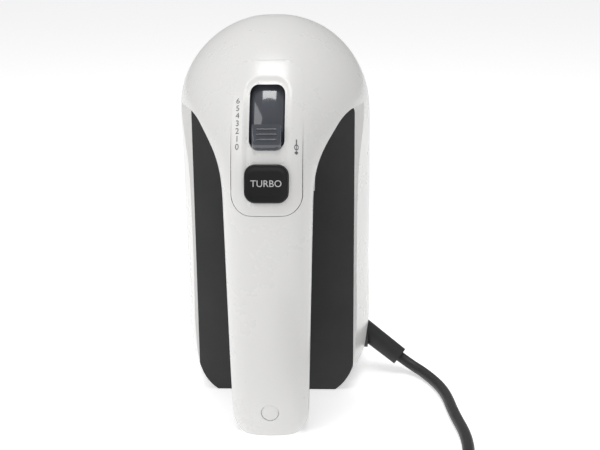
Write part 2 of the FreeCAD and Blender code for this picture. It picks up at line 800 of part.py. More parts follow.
def worm_wheel(side):
    # Helical teeth at the worm's lead angle. At rest a gap between two teeth faces the worm.
    lead_angle = math.atan(worm_starts * gear_module / 2 / worm_pitch_radius)
    twist = wheel_width * math.tan(lead_angle) / wheel_pitch_radius
    gap_turn = math.pi / tooth_count
    shares = (-0.5, -0.25, 0, 0.25, 0.5)
    sections = [wheel_section(share * wheel_width, gap_turn - twist * share) for share in shares]
    wheel = Part.makeLoft(sections, True, True, False)
    wheel = wheel.cut(rod(spindle_radius, (0, -wheel_width, 0), (0, wheel_width, 0)))
    if side < 0:
        wheel.rotate(Vec(0, 0, 0), Vec(0, 1, 0), 180)
    wheel.translate(Vec(side * spindle_x, motor_y, spindle_z))
    return wheel


def drive():
    for side, name in ((-1, "left"), (1, "right")):
        x = side * spindle_x
        save(name + "_worm_wheel", worm_wheel(side))
        spindle = tube(spindle_radius, stem_radius + running_gap, *[(x, y, spindle_z) for y in spindle_y])
        collar = tube(collar_radius, stem_radius + running_gap, *[(x, y, spindle_z) for y in collar_y])
        save(name + "_spindle", spindle.fuse(collar).removeSplitter())
    bushes = []
    for x in (-spindle_x, spindle_x):
        for near, far in bush_spans:
            ends = [(x, near, spindle_z), (x, far, spindle_z)]
            bushes.append(tube(bush_radius, spindle_radius + running_gap, *ends))
    save("spindle_bushes", *bushes)

    floor = make_box((-frame_half, frame_half), *frame_floor)
    floor = floor.cut(rod(bearing_radius, (0, motor_y, 0), (0, motor_y, spindle_z)))
    back_wall = make_box((-frame_half, frame_half), *frame_wall)
    nose_block = make_box((-frame_nose_half, frame_nose_half), *frame_nose)
    frame_parts = [floor, back_wall, nose_block]
    for side in (-1, 1):
        leg_x = sorted(side * place for place in bracket_leg_x)
        frame_parts.append(make_box(leg_x, frame_leg_y, (core_high_z - 12, frame_leg_top)))
    frame = fuse_all(frame_parts)
    frame = frame.cut(rod(shaft_radius + running_gap, (0, motor_y, spindle_z), (0, motor_y, far_top)))
    cover = make_box((-cover_half, cover_half), *cover_span)
    cover = cover.cut(rod(cover_hole_radius, (0, far_front, cover_hole_z), (0, 0, cover_hole_z)))
    for x in (-spindle_x, spindle_x):
        frame = frame.cut(rod(bush_radius, (x, motor_y, spindle_z), (x, far_back, spindle_z)))
        cover = cover.cut(rod(bush_radius, (x, far_front, spindle_z), (x, motor_y, spindle_z)))
    notch_x, notch_y, notch_z = lever_notch
    for side in (-1, 1):
        # room for the lever's hub and the yoke's leg when the lever is pushed in
        notch = make_box(sorted(side * place for place in notch_x), notch_y, notch_z)
        frame = frame.cut(notch)
        cover = cover.cut(notch)
    save("gearbox_frame", frame)
    save("gearbox_cover", cover)


# Beaters

def beater(side, name):
    x = side * spindle_x
    stem = rod(stem_radius, (x, stem_start_y, spindle_z), (x, cage_end_y, spindle_z))
    cone = Part.makeCone(stem_radius, beater_hub_radius, 5, Vec(x, cage_start_y - 7, spindle_z), Vec(0, 1, 0))
    hub = rod(beater_hub_radius, (x, cage_start_y - 2, spindle_z), (x, cage_start_y + 4, spindle_z))
    collar_ends = [(x, back_y + y, spindle_z) for y in beater_collar_y]
    collar = rod(beater_collar_radius, *collar_ends)
    tip = rod(beater_tip_radius, (x, cage_end_y - 3, spindle_z), (x, cage_end_y + 1.5, spindle_z))
    save(name + "_beater_stem", fuse_all([stem, cone, hub, collar, tip]))
    arms = []
    for quarter in range(2):
        loop = cage_loop().cut(rod(beater_tip_radius, (0, 0, 0), (0, far_top, 0)))
        loop.rotate(Vec(0, 0, 0), Vec(0, 1, 0), 90 * quarter + (45 if side > 0 else 0))
        loop.translate(Vec(x, 0, spindle_z))
        arms += loop.cut(hub.fuse(tip)).Solids
    save(name + "_beater_cage", *arms)


def cage_profile(inset):
    half = cage_radius - inset
    shoulder = cage_start_y + 14
    belly = (cage_start_y + cage_end_y) / 2
    points = [
        Vec(3, cage_start_y + inset, 0), Vec(half * 0.62, shoulder - 8 + inset * 0.6, 0),
        Vec(half * 0.94, shoulder + inset * 0.2, 0), Vec(half, belly, 0),
        Vec(half * 0.86, cage_end_y - 12, 0),
        Vec(half * 0.52, cage_end_y - 3 - 0.8 * inset, 0), Vec(3, cage_end_y - inset, 0),
    ]
    mirrored = [Vec(-point.x, point.y, 0) for point in points[::-1]]
    curve = Part.BSplineCurve()
    curve.interpolate(points + mirrored, PeriodicFlag=True)
    return Part.Face(Part.Wire(curve.toShape()))


def cage_loop():
    band = cage_profile(0).cut(cage_profile(strip_thick))
    solid = band.extrude(Vec(0, 0, strip_width))
    solid.translate(Vec(0, 0, -strip_width / 2))
    return solid


# Electrics and lead

def electrics():
    parts = [make_box(*board_span)]
    block_y = board_span[1][1] - 0.1
    for x, z, wide, tall, deep in board_blocks:
        block_x = (x - wide / 2, x + wide / 2)
        parts.append(make_box(block_x, (block_y, block_y + deep), (z - tall / 2, z + tall / 2)))
    save("circuit_board", fuse_all(parts))
    held_cord = rod(cord_radius, (0, clamp_cord_y, clamp_cord_z), (far_x, clamp_cord_y, clamp_cord_z))
    save("cord_clamp", make_box(*clamp_span).cut(held_cord))
    clamp_screws = []
    for y in clamp_screw_y:
        clamp_screws.append(rod(clamp_screw_radius, *[(screw_x, y, z) for z in clamp_screw_z]))
    save("clamp_screws", *clamp_screws)


def lead():
    mouth = gland_mouth
    cup = rod(gland_radius - 0.05, (42.5, mouth.y, mouth.z), (47.5, mouth.y, mouth.z))
    recess = Part.makeCone(5.6, 7.0, 3.0, Vec(44.7, mouth.y, mouth.z), Vec(1, 0, 0))
    save("cord_gland", cup.cut(recess))
    direction = Vec(exit_direction).normalize()
    root = mouth - direction * 5
    end = root + direction * sleeve_length
    sleeve = Part.makeCone(sleeve_root, sleeve_tip, sleeve_length, root, direction)
    sleeve = sleeve.cut(rod(sleeve_bore, tuple(end - direction * sleeve_depth), tuple(end + direction)))
    save("strain_relief", sleeve)

    points = [end - direction * sleeve_depth, end + direction * 5.5]
    points += [Vec(x, y, cord_z) for x, y in cord_floor_route]
    save("power_cord", cord_tube(points))
    ring = Part.makeCylinder(coil_mid_radius + coil_columns * cord_radius, coil_height, coil_centre)
    hole = Part.makeCylinder(coil_mid_radius - coil_columns * cord_radius, coil_height, coil_centre)
    save("cord_coil", ring.cut(hole))

    plug_z_mid = coil_height + 6.0
    body = make_box((plug_x - 12, plug_x + 12), (plug_y - 9, plug_y + 9), (coil_height, coil_height + 12))
    body = body.makeChamfer(2.2, [edge for edge in body.Edges if edge.BoundBox.XLength > 20])
    tail = Part.makeCone(5.0, cord_radius, 20, Vec(plug_x + 11, plug_y, plug_z_mid), Vec(20, 3, -3.6))
    save("plug_body", body.fuse(tail).removeSplitter())
    blades = [make_box((plug_x - 29, plug_x - 12), (plug_y + y - 0.75, plug_y + y + 0.75),
                       (plug_z_mid - 3.2, plug_z_mid + 3.2)) for y in (-6.35, 6.35)]
    save("plug_blades", *blades)


def cord_tube(points):
    # Straight runs joined by tangent arcs, each as large as its two runs allow.
    edges = []
    here = points[0]
    for before, corner, after in zip(points, points[1:], points[2:]):
        into = corner - before
        out = after - corner
        shorter = min(into.Length, out.Length)
        turn = into.getAngle(out)
        setback = 0.45 * shorter
        print("cord radius", round(setback / math.tan(turn / 2), 1), "turn", round(math.degrees(turn), 1))
        into.normalize()
        out.normalize()
        start = corner - into * setback
        finish = corner + out * setback
        bisector = (out - into).normalize()
        radius = setback / math.tan(turn / 2)
        reach = radius / math.cos(turn / 2) - radius
        middle = corner + bisector * reach
        edges.append(Part.LineSegment(here, start).toShape())
        edges.append(Part.Arc(start, middle, finish).toShape())
        here = finish
    edges.append(Part.LineSegment(here, points[-1]).toShape())
    path = Part.Wire(edges)
    section = Part.Wire(Part.makeCircle(cord_radius, points[0], points[1] - points[0]))
    cord = path.makePipeShell([section], True, False)
    print("cord length", round(path.Length, 1), "volume", round(cord.Volume, 1),
          "expected", round(math.pi * cord_radius**2 * path.Length, 1))
    return cord


screws()
turbo()
speed_lever()
ejector()
motor()
drive()
beater(-1, "left")
beater(1, "right")
electrics()
lead()
casing()
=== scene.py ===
import json
import math

import bpy
from mathutils import Matrix, Vector
from mathutils.bvhtree import BVHTree

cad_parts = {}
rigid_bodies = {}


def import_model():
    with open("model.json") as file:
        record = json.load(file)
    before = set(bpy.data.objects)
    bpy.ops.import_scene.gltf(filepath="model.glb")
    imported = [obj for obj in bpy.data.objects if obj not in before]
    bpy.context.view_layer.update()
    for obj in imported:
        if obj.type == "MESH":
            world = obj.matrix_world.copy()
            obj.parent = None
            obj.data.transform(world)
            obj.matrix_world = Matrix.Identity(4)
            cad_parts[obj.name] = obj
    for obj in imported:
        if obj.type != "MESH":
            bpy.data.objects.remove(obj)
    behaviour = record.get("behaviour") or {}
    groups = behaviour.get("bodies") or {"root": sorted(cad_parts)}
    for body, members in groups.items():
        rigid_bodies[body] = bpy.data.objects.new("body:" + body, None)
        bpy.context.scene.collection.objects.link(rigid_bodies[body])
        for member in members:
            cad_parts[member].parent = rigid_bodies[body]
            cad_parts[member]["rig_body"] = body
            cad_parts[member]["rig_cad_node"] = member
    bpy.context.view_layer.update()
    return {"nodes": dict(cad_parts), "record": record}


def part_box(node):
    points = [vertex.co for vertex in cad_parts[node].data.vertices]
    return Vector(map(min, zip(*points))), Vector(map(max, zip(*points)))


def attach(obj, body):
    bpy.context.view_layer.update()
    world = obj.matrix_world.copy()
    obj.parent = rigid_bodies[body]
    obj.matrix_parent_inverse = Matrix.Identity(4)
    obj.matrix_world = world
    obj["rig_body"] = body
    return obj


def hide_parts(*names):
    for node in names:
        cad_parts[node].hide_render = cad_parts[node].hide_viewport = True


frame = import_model()
nodes = frame["nodes"]
bodyOf = {name: body for body, names in frame["record"]["behaviour"]["bodies"].items() for name in names}
print("frame loaded", len(nodes), "nodes")


# camera

cameraLook = {
    "place": (0.0312, -0.5747, 0.2489),
    "pitch": 73.43,
    "yaw": 1.97,
    "roll": -0.41,
    "lens": 68.2,
    "sensor": 36,
}


def addCamera():
    look = cameraLook
    bpy.ops.object.camera_add(location=look["place"])
    camera = bpy.context.object
    camera.name = "viewCamera"
    yaw = Matrix.Rotation(math.radians(look["yaw"]), 3, "Z")
    pitch = Matrix.Rotation(math.radians(look["pitch"]), 3, "X")
    roll = Matrix.Rotation(math.radians(look["roll"]), 3, "Z")
    camera.rotation_euler = (yaw @ pitch @ roll).to_euler()
    camera.data.lens = look["lens"]
    camera.data.sensor_width = look["sensor"]
    bpy.context.scene.camera = camera


addCamera()
print("camera placed")


# small helpers

mergeWithin = 0.000004


def deselectAll():
    if bpy.context.object and bpy.context.object.mode != "OBJECT":
        bpy.ops.object.mode_set(mode="OBJECT")
    bpy.ops.object.select_all(action="DESELECT")


def pick(piece):
    deselectAll()
    piece.select_set(True)
    bpy.context.view_layer.objects.active = piece


def editAll(piece):
    pick(piece)
    bpy.ops.object.mode_set(mode="EDIT")
    bpy.ops.mesh.select_all(action="SELECT")


def leaveEdit():
    bpy.ops.object.mode_set(mode="OBJECT")


def bakePlace(piece):
    pick(piece)
    bpy.ops.object.transform_apply(location=True, rotation=True, scale=True)


def applyModifiers(piece):
    pick(piece)
    for name in [modifier.name for modifier in piece.modifiers]:
        bpy.ops.object.modifier_apply(modifier=name)


def smooth(piece, degrees):
    pick(piece)
    bpy.ops.object.shade_smooth_by_angle(angle=math.radians(degrees))


def bevelled(piece, width, segments=3, degrees=38):
    modifier = piece.modifiers.new("soften", "BEVEL")
    modifier.width = width
    modifier.segments = segments
    modifier.limit_method = "ANGLE"
    modifier.angle_limit = math.radians(degrees)
    applyModifiers(piece)


def settle(piece, body, paint, standsFor=()):
    # gives a finished piece its material and its body, and hides the frame nodes that it stands for
    piece.data.materials.clear()
    piece.data.materials.append(paint)
    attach(piece, body)
    if standsFor:
        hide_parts(*standsFor)


def cleanCopy(nodeName, pieceName):
    # a copy of a frame node that may be edited, with its doubled points merged
    piece = nodes[nodeName].copy()
    piece.data = nodes[nodeName].data.copy()
    piece.name = pieceName
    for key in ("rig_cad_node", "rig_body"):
        if key in piece:
            del piece[key]
    piece.parent = None
    bpy.context.scene.collection.objects.link(piece)
    editAll(piece)
    bpy.ops.mesh.remove_doubles(threshold=mergeWithin)
    leaveEdit()
    return piece


def keptShare(share):
    # keeps a share between 0 and 1
    return min(max(share, 0), 1)


# materials: every finish reads object coordinates, with patches of tone, a fine grain and smudged gloss

plainLook = {
    "metal": 0.0,
    "ior": 1.5,
    "coat": 0.0,
    "coatRough": 0.08,
    "specular": 0.5,
    "patchScale": 40,
    "patchDetail": 5,
    "grainScale": 900,
    "grainDetail": 3,
    "grainStrength": 0.15,
    "grainDepth": 0.0001,
    "bandBend": 0.3,
    "smudgeScale": 25,
    "smudgeDetail": 6,
    "smudgeRough": 0.65,
    "lowNoise": 0.3,
    "highNoise": 0.7,
}


def finish(name, ownLook):
    look = {**plainLook, **ownLook}
    paint = bpy.data.materials.new(name)
    paint.use_nodes = True
    tree = paint.node_tree
    shader = tree.nodes["Principled BSDF"]
    shader.inputs["Metallic"].default_value = look["metal"]
    shader.inputs["IOR"].default_value = look["ior"]
    shader.inputs["Coat Weight"].default_value = look["coat"]
    shader.inputs["Coat Roughness"].default_value = look["coatRough"]
    shader.inputs["Specular IOR Level"].default_value = look["specular"]
    place = tree.nodes.new("ShaderNodeTexCoord")

    patches = tree.nodes.new("ShaderNodeTexNoise")
    patches.inputs["Scale"].default_value = look["patchScale"]
    patches.inputs["Detail"].default_value = look["patchDetail"]
    tree.links.new(place.outputs["Object"], patches.inputs["Vector"])
    tone = tree.nodes.new("ShaderNodeValToRGB")
    tone.color_ramp.elements[0].position = look["lowNoise"]
    tone.color_ramp.elements[1].position = look["highNoise"]
    tone.color_ramp.elements[0].color = (*look["colour"], 1)
    tone.color_ramp.elements[1].color = (*look["tint"], 1)
    tree.links.new(patches.outputs["Fac"], tone.inputs["Fac"])
    colour = tone.outputs["Color"]

    grain = tree.nodes.new("ShaderNodeTexNoise")
    grain.inputs["Scale"].default_value = look["grainScale"]
    grain.inputs["Detail"].default_value = look["grainDetail"]
    tree.links.new(place.outputs["Object"], grain.inputs["Vector"])
    height = grain.outputs["Fac"]
    if "bands" in look:
        stripes = tree.nodes.new("ShaderNodeTexWave")
        stripes.bands_direction = look["bandAxis"]
        stripes.inputs["Scale"].default_value = look["bands"]
        stripes.inputs["Distortion"].default_value = look["bandBend"]
        stripes.inputs["Detail"].default_value = 1
        tree.links.new(place.outputs["Object"], stripes.inputs["Vector"])
        height = stripes.outputs["Fac"]
        darker = tree.nodes.new("ShaderNodeMix")
        darker.data_type = "RGBA"
        darker.blend_type = "MULTIPLY"
        darker.inputs["B"].default_value = (*look["bandColour"], 1)
        turned = tree.nodes.new("ShaderNodeMath")
        turned.operation = "SUBTRACT"
        turned.inputs[0].default_value = 1.0
        tree.links.new(stripes.outputs["Fac"], turned.inputs[1])
        tree.links.new(turned.outputs["Value"], darker.inputs["Factor"])
        tree.links.new(colour, darker.inputs["A"])
        colour = darker.outputs["Result"]
    tree.links.new(colour, shader.inputs["Base Color"])

    bump = tree.nodes.new("ShaderNodeBump")
    bump.inputs["Strength"].default_value = look["grainStrength"]
    bump.inputs["Distance"].default_value = look["grainDepth"]
    tree.links.new(height, bump.inputs["Height"])
    tree.links.new(bump.outputs["Normal"], shader.inputs["Normal"])

    smudge = tree.nodes.new("ShaderNodeTexNoise")
    smudge.inputs["Scale"].default_value = look["smudgeScale"]
    smudge.inputs["Detail"].default_value = look["smudgeDetail"]
    smudge.inputs["Roughness"].default_value = look["smudgeRough"]
    tree.links.new(place.outputs["Object"], smudge.inputs["Vector"])
    gloss = tree.nodes.new("ShaderNodeMapRange")
    gloss.inputs["From Min"].default_value = look["lowNoise"]
    gloss.inputs["From Max"].default_value = look["highNoise"]
    gloss.inputs["To Min"].default_value = look["rough"][0]
    gloss.inputs["To Max"].default_value = look["rough"][1]
    tree.links.new(smudge.outputs["Fac"], gloss.inputs["Value"])
    tree.links.new(gloss.outputs["Result"], shader.inputs["Roughness"])
    return paint


looks = {
    "whiteShell": {"colour": (0.76, 0.755, 0.745), "tint": (0.785, 0.78, 0.77), "rough": (0.24, 0.33),
                   "coat": 0.25, "coatRough": 0.14, "patchScale": 9, "grainScale": 420,
                   "grainStrength": 0.012},
    "darkShell": {"colour": (0.016, 0.016, 0.017), "tint": (0.021, 0.021, 0.0225), "rough": (0.46, 0.58),
                  "grainScale": 3200, "grainStrength": 0.45, "grainDepth": 0.00012},
    "buttonBlack": {"colour": (0.005, 0.005, 0.0055), "tint": (0.007, 0.007, 0.0075), "rough": (0.36, 0.44),
                    "coat": 0.05, "specular": 0.35, "coatRough": 0.2, "grainScale": 2600,
                    "grainStrength": 0.12},
    "leverGrey": {"colour": (0.050, 0.056, 0.070), "tint": (0.062, 0.068, 0.084), "rough": (0.08, 0.14),
                  "coat": 1.0, "coatRough": 0.04, "grainScale": 600, "grainStrength": 0.03},
    "label": {"colour": (0.62, 0.63, 0.64), "tint": (0.70, 0.70, 0.71), "rough": (0.28, 0.40), "metal": 0.85,
              "bands": 900, "bandAxis": "Z", "bandBend": 1.5, "bandColour": (0.86, 0.86, 0.87)},
    "steel": {"colour": (0.55, 0.56, 0.58), "tint": (0.63, 0.64, 0.66), "rough": (0.18, 0.30), "metal": 1.0,
              "grainScale": 1200, "grainStrength": 0.06},
    "chrome": {"colour": (0.72, 0.73, 0.75), "tint": (0.80, 0.81, 0.82), "rough": (0.05, 0.13), "metal": 1.0,
               "grainScale": 700, "grainStrength": 0.03},
    "lamination": {"colour": (0.30, 0.31, 0.33), "tint": (0.38, 0.38, 0.40), "rough": (0.35, 0.5),
                   "metal": 0.9, "bands": 320, "bandAxis": "Z", "bandBend": 0.0,
                   "bandColour": (0.25, 0.25, 0.27), "grainStrength": 0.6},
    "copper": {"colour": (0.48, 0.18, 0.07), "tint": (0.60, 0.26, 0.10), "rough": (0.22, 0.34), "metal": 1.0,
               "coat": 0.6, "bands": 420, "bandAxis": "Y", "bandBend": 0.6, "bandColour": (0.35, 0.22, 0.15),
               "grainStrength": 0.7},
    "bronze": {"colour": (0.42, 0.27, 0.12), "tint": (0.50, 0.33, 0.16), "rough": (0.34, 0.48), "metal": 1.0,
               "grainScale": 2200, "grainStrength": 0.3},
    "framePlastic": {"colour": (0.11, 0.11, 0.12), "tint": (0.14, 0.14, 0.15), "rough": (0.45, 0.6),
                     "grainScale": 1800, "grainStrength": 0.2},
    "nylon": {"colour": (0.62, 0.58, 0.47), "tint": (0.70, 0.66, 0.55), "rough": (0.34, 0.46),
              "grainScale": 1300, "grainStrength": 0.1},
    "carbon": {"colour": (0.015, 0.015, 0.016), "tint": (0.03, 0.03, 0.03), "rough": (0.5, 0.7),
               "grainScale": 3500, "grainStrength": 0.4},
    "board": {"colour": (0.02, 0.12, 0.05), "tint": (0.03, 0.17, 0.07), "rough": (0.3, 0.42), "coat": 0.4,
              "grainScale": 500, "grainStrength": 0.15},
    "rubber": {"colour": (0.018, 0.018, 0.019), "tint": (0.028, 0.028, 0.029), "rough": (0.42, 0.56),
               "grainScale": 2400, "grainStrength": 0.25},
    "blade": {"colour": (0.62, 0.58, 0.50), "tint": (0.70, 0.66, 0.58), "rough": (0.16, 0.28), "metal": 1.0,
              "grainScale": 1500, "grainStrength": 0.05},
    "markGrey": {"colour": (0.10, 0.10, 0.11), "tint": (0.14, 0.14, 0.15), "rough": (0.4, 0.5),
                 "grainScale": 2500, "grainStrength": 0.1},
    "markPale": {"colour": (0.50, 0.50, 0.51), "tint": (0.58, 0.58, 0.59), "rough": (0.4, 0.5),
                 "grainScale": 2500, "grainStrength": 0.1},
}
material = {name: finish(name, look) for name, look in looks.items()}
slotOf = {entry["node"]: entry["material_slot"] for entry in frame["record"]["subparts"]}


def slotMaterial(slotName):
    # the slot white_shell is painted with the look whiteShell, and so on
    first, *others = slotName.split("_")
    return material[first + "".join(word.capitalize() for word in others)]


for name, node in nodes.items():
    node.data.materials.clear()
    node.data.materials.append(slotMaterial(slotOf[name]))
print("materials made", len(material))


# stage: pale floor, soft light from above and the left

stageLook = {
    "floorSize": 6.4,
    "floorTone": 0.94,
    "floorRough": 0.9,
    "floorShine": 0.1,
    "floorGlow": 0.52,
    "sky": 0.38,
    "backdrop": 1.0,
}
lampLooks = {
    "keyLamp": {"place": (-0.60, -0.50, 0.75), "aim": (0, 0, 0.12), "side": 0.6, "power": 2.1},
    "topLamp": {"place": (0.0, -0.12, 1.1), "aim": (0, 0, 0.1), "side": 0.5, "power": 5.0},
}


def addStage():
    look = stageLook
    bpy.ops.mesh.primitive_plane_add(size=look["floorSize"], location=(0, 0, 0))
    floor = bpy.context.object
    floor.name = "floor"
    paint = bpy.data.materials.new("floorPaint")
    paint.use_nodes = True
    shader = paint.node_tree.nodes["Principled BSDF"]
    shader.inputs["Base Color"].default_value = (look["floorTone"],) * 3 + (1,)
    shader.inputs["Roughness"].default_value = look["floorRough"]
    shader.inputs["Specular IOR Level"].default_value = look["floorShine"]
    shader.inputs["Emission Color"].default_value = (1, 1, 1, 1)
    shader.inputs["Emission Strength"].default_value = look["floorGlow"]
    floor.data.materials.append(paint)
    world = bpy.data.worlds.new("studio")
    bpy.context.scene.world = world
    world.use_nodes = True
    tree = world.node_tree
    background = tree.nodes["Background"]
    background.inputs["Color"].default_value = (1, 1, 1, 1)
    # the camera sees a white backdrop, the object gets a softer light from it
    seen = tree.nodes.new("ShaderNodeLightPath")
    level = tree.nodes.new("ShaderNodeMapRange")
    level.inputs["To Min"].default_value = look["sky"]
    level.inputs["To Max"].default_value = look["backdrop"]
    tree.links.new(seen.outputs["Is Camera Ray"], level.inputs["Value"])
    tree.links.new(level.outputs["Result"], background.inputs["Strength"])
    bpy.context.scene.view_settings.view_transform = "Standard"


def addLamp(name):
    look = lampLooks[name]
    bpy.ops.object.light_add(type="AREA", location=look["place"])
    lamp = bpy.context.object
    lamp.name = name
    lamp.data.shape = "RECTANGLE"
    lamp.data.size = look["side"]
    lamp.data.size_y = look["side"]
    lamp.data.energy = look["power"]
    lamp.rotation_euler = (Vector(look["aim"]) - Vector(look["place"])).to_track_quat("-Z", "Y").to_euler()


addStage()
for lampName in lampLooks:
    addLamp(lampName)
print("stage set")


# lead: one smooth line from the sleeve over the floor into a coil in front of the handle, and into the plug

leadLook = {
    "diameter": 0.0056,
    "length": 1.0,
    "mouth": Vector((0.048, -0.0063, 0.020)),
    "heading": Vector((0.78, -0.25, -0.55)).normalized(),
    "sleeveReach": 0.021,
    "startBack": 0.005,
    "startOn": 0.0055,
    "floorHeight": 0.0029,
    "floorRoute": [(0.078, -0.022), (0.086, -0.043), (0.088, -0.069), (0.092, -0.094), (0.090, -0.120),
                   (0.092, -0.144)],
    "coilCentre": Vector((0.054, -0.171, 0)),
    "coilOuter": 0.0364,
    "coilPitch": 0.0056,
    "turnsPerLayer": 2,
    "lastTurns": 1.92,
    "climb": 0.25,
    "upperHeight": 0.0084,
    "pointsPerTurn": 16,
    "plugTail": Vector((0.068, -0.199, 0.0136)),
    "beforeTail": Vector((0.012, 0.003, -0.0016)),
    "intoTail": Vector((-0.004, -0.0006, 0.0007)),
    "bevelSteps": 5,
    "stepsPerPoint": 6,
    "order": 3,
}


def coilPoints():
    look = leadLook
    inner = look["coilOuter"] - look["coilPitch"] * look["turnsPerLayer"]
    total = look["turnsPerLayer"] + look["climb"] + look["lastTurns"]
    points = []
    for step in range(int(total * look["pointsPerTurn"]) + 1):
        turn = step / look["pointsPerTurn"]
        radius = look["coilOuter"] - look["coilPitch"] * turn
        height = look["floorHeight"]
        if turn > look["turnsPerLayer"]:
            radius = inner
            share = min((turn - look["turnsPerLayer"]) / look["climb"], 1)
            height += (look["upperHeight"] - look["floorHeight"]) * share
        if turn > look["turnsPerLayer"] + look["climb"]:
            radius = inner + look["coilPitch"] * (turn - look["turnsPerLayer"] - look["climb"])
        angle = -2 * math.pi * turn
        spoke = Vector((radius * math.cos(angle), radius * math.sin(angle), height))
        points.append(look["coilCentre"] + spoke)
    return points


def leadPoints():
    look = leadLook
    end = look["mouth"] + look["heading"] * look["sleeveReach"]
    points = [end - look["heading"] * look["startBack"], end + look["heading"] * look["startOn"]]
    points += [Vector((x, y, look["floorHeight"])) for x, y in look["floorRoute"]]
    points += coilPoints()
    tail = look["plugTail"]
    points += [tail + look["beforeTail"], tail, tail + look["intoTail"]]
    return points


def addLead():
    look = leadLook
    curve = bpy.data.curves.new("lead", "CURVE")
    curve.dimensions = "3D"
    curve.bevel_depth = look["diameter"] / 2
    curve.bevel_resolution = look["bevelSteps"]
    curve.resolution_u = look["stepsPerPoint"]
    curve.use_fill_caps = True
    line = curve.splines.new("NURBS")
    points = leadPoints()
    line.points.add(len(points) - 1)
    for spot, place in zip(line.points, points):
        spot.co = (*place, 1)
    line.order_u = look["order"]
    line.use_endpoint_u = True
    lead = bpy.data.objects.new("lead", curve)
    bpy.context.scene.collection.objects.link(lead)
    lead.data.materials.append(material["rubber"])
    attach(lead, "mixer_body")
    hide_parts("power_cord", "cord_coil")


addLead()
print("lead laid")


# moulded shells: the frame's own surfaces with eased edges, so that each seam shows as a fine groove

shellLook = {
    "upper_housing": ("frontShell", 0.00035),
    "lower_housing": ("rearShell", 0.00035),
    "inner_saddle": ("darkPanels", 0.00025),
    "handle_grip": ("gripShell", 0.00035),
    "heel_cap": ("heelFoot", 0.0004),
    "handle_screw_plug": ("handlePlug", 0.0002),
    "rating_plate": ("ratingPlate", 0.00012),
    "cord_gland": ("leadGland", 0.0004),
    "strain_relief": ("leadSleeve", 0.0006),
    "left_beater_cage": ("leftCage", 0.0003),
    "right_beater_cage": ("rightCage", 0.0003),
    "left_beater_stem": ("leftStem", 0.0004),
    "right_beater_stem": ("rightStem", 0.0004),
}
shellShade = {"segments": 2, "smoothTo": 32, "terminator": 0.25, "terminatorShape": 0.3}


def addShell(nodeName):
    pieceName, ease = shellLook[nodeName]
    shell = cleanCopy(nodeName, pieceName)
    bevelled(shell, ease, shellShade["segments"])
    smooth(shell, shellShade["smoothTo"])
    steady = shell.modifiers.new("steady", "WEIGHTED_NORMAL")
    steady.keep_sharp = True
    applyModifiers(shell)
    slotName = slotOf[nodeName]
    settle(shell, bodyOf[nodeName], slotMaterial(slotName), (nodeName,))
    # shadow terminator offsets, meant for low light on the gentle curves; no difference was seen
    shell.cycles.shadow_terminator_offset = shellShade["terminator"]
    shell.cycles.shadow_terminator_geometry_offset = shellShade["terminatorShape"]
    print(pieceName, len(shell.data.polygons))


for shellNode in shellLook:
    addShell(shellNode)
print("shells done")


# controls: all sit on one arc about the lever's pivot

arcLook = {"pivot": Vector((0, -0.015, 0.1075)), "radius": 0.081}
nearly = 0.00001


def leanBack(piece, degrees):
    # turns a piece built facing the front at pivot height up along the arc
    toPivot = Matrix.Translation(arcLook["pivot"])
    turn = Matrix.Rotation(math.radians(-degrees), 4, "X")
    bakePlace(piece)
    piece.data.transform(toPivot @ turn @ toPivot.inverted())


def addBlock(name, centre, size):
    deselectAll()
    bpy.ops.mesh.primitive_cube_add(size=1, location=centre)
    block = bpy.context.object
    block.name = name
    block.scale = size
    bakePlace(block)
    return block


def bevelEdges(piece, test, width, segments):
    # bevels the edges whose two ends pass the test
    editAll(piece)
    bpy.ops.mesh.select_mode(type="EDGE")
    bpy.ops.mesh.select_all(action="DESELECT")
    leaveEdit()
    mesh = piece.data
    for edge in mesh.edges:
        ends = [mesh.vertices[index].co for index in edge.vertices]
        edge.select = test(ends[0], ends[1])
    bpy.ops.object.mode_set(mode="EDIT")
    bpy.ops.mesh.bevel(offset=width, segments=segments, affect="EDGES")
    bpy.ops.mesh.select_mode(type="VERT")
    leaveEdit()


def joined(name, pieces):
    deselectAll()
    for piece in pieces:
        piece.select_set(True)
    bpy.context.view_layer.objects.active = pieces[0]
    bpy.ops.object.join()
    whole = bpy.context.object
    whole.name = name
    return whole


panelLook = {
    "dishHalf": 0.0112,
    "dishLow": 0.1165,
    "dishHigh": 0.1685,
    "dishCorner": 0.0085,
    "dishDepth": 0.0007,
    "dishSlope": 0.0026,
    "fadeBelow": 0.124,
    "cut": 0.001,
    "ease": 0.0002,
    "segments": 2,
    "smoothTo": 30,
    "edgeHalf": 0.016,
    "edgeLow": 0.110,
    "edgeHigh": 0.174,
    "edgeCorner": 0.009,
    "seam": 0.00028,
    "seamReach": 0.00015,
    "seamTop": 0.150,
    "seamFade": 0.02,
    "skinDepth": 0.0016,
    "skinFade": 0.0008,
}


def pastCorner(kind, x, z):
    # how far a point lies past the corner centres of the rounded outline "dish" or "edge", with its sign
    look = panelLook
    low, high, corner = look[kind + "Low"], look[kind + "High"], look[kind + "Corner"]
    middle = (low + high) / 2
    pastX = max(abs(x) - look[kind + "Half"] + corner, 0)
    pastZ = max(abs(z - middle) - (high - low) / 2 + corner, 0)
    return Vector((math.copysign(pastX, x), 0, math.copysign(pastZ, z - middle)))


def drawnIn(x, z):
    # moves a point of the panel's rim towards the panel, so that a dark seam is left round its lower part
    look = panelLook
    past = pastCorner("edge", x, z)
    if past.length < look["edgeCorner"] - look["seamReach"]:
        return Vector((0, 0, 0))
    return -past.normalized() * look["seam"] * keptShare((look["seamTop"] - z) / look["seamFade"])


